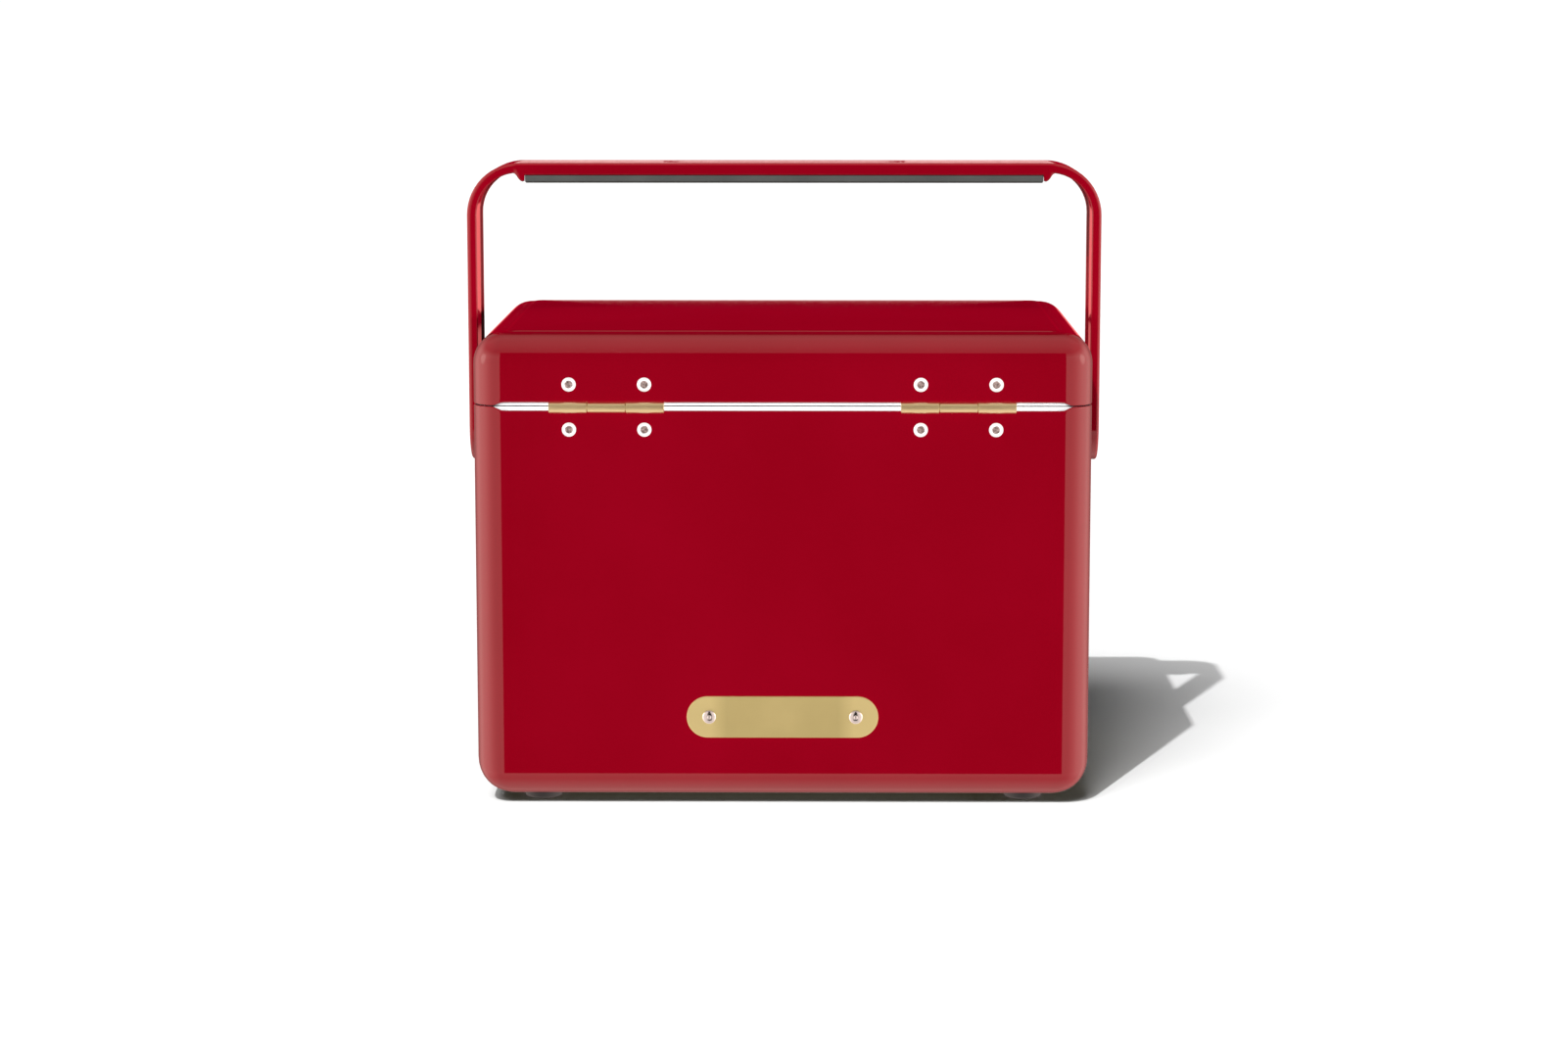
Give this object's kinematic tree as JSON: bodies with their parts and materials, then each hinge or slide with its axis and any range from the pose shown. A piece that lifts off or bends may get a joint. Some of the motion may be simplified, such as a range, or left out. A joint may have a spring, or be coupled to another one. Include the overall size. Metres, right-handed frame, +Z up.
{
  "type": "vintage soda cooler chest",
  "caption": "Enamelled steel picnic cooler chest with a white liner, a rear-hinged lid, a swinging bow handle with a rubber grip, and a blank brass plate on the rear.",
  "frame": {"origin": "on the ground, under the middle of the whole chest with its hinges", "axes": "+Z up, -Y the front, +Y the hinge side, +X along the width"},
  "size_m": [0.365, 0.2466, 0.3545],
  "materials": {
    "red_enamel": "gloss",
    "white_liner": "satin",
    "insulation_wool": "matte",
    "grip_rubber": "satin",
    "foot_rubber": "matte",
    "gasket_rubber": "matte",
    "brass": "satin",
    "rivet_aluminium": "satin",
    "zinc_steel": "satin",
    "nylon": "matte"
  },
  "bodies": {
    "chest": {"body_shell": "red_enamel", "body_liner": "white_liner", "body_insulation": "insulation_wool", "foot_front_left": "foot_rubber", "foot_front_right": "foot_rubber", "foot_rear_left": "foot_rubber", "foot_rear_right": "foot_rubber", "foot_screws": "zinc_steel", "hinge_left_body_leaf": "brass", "hinge_right_body_leaf": "brass", "hinge_left_pin": "brass", "hinge_right_pin": "brass", "hinge_left_body_rivets": "rivet_aluminium", "hinge_right_body_rivets": "rivet_aluminium", "nameplate": "brass", "nameplate_rivets": "rivet_aluminium", "pivot_backing_left": "zinc_steel", "pivot_backing_right": "zinc_steel", "pivot_bolt_left": "zinc_steel", "pivot_bolt_right": "zinc_steel", "pivot_nut_left": "zinc_steel", "pivot_nut_right": "zinc_steel", "pivot_spacer_left": "zinc_steel", "pivot_spacer_right": "zinc_steel"},
    "lid": {"lid_shell": "red_enamel", "lid_liner": "white_liner", "lid_insulation": "insulation_wool", "lid_gasket": "gasket_rubber", "hinge_left_lid_leaf": "brass", "hinge_right_lid_leaf": "brass", "hinge_left_lid_rivets": "rivet_aluminium", "hinge_right_lid_rivets": "rivet_aluminium"},
    "handle": {"handle_strap": "red_enamel", "handle_inner_plate_left": "red_enamel", "handle_inner_plate_right": "red_enamel", "handle_grip": "grip_rubber", "handle_bush_left": "nylon", "handle_bush_right": "nylon"}
  },
  "joints": [
    {"name": "lid_hinge", "type": "hinge", "parent": "chest", "child": "lid", "pos_m": [0, 0.1202, 0.225], "axis": [-1, 0, 0], "range_deg": [0, 25]},
    {"name": "handle_pivot", "type": "hinge", "parent": "chest", "child": "handle", "pos_m": [0, -0.0028, 0.203], "axis": [1, 0, 0], "range_deg": [-110, 110]}
  ]
}
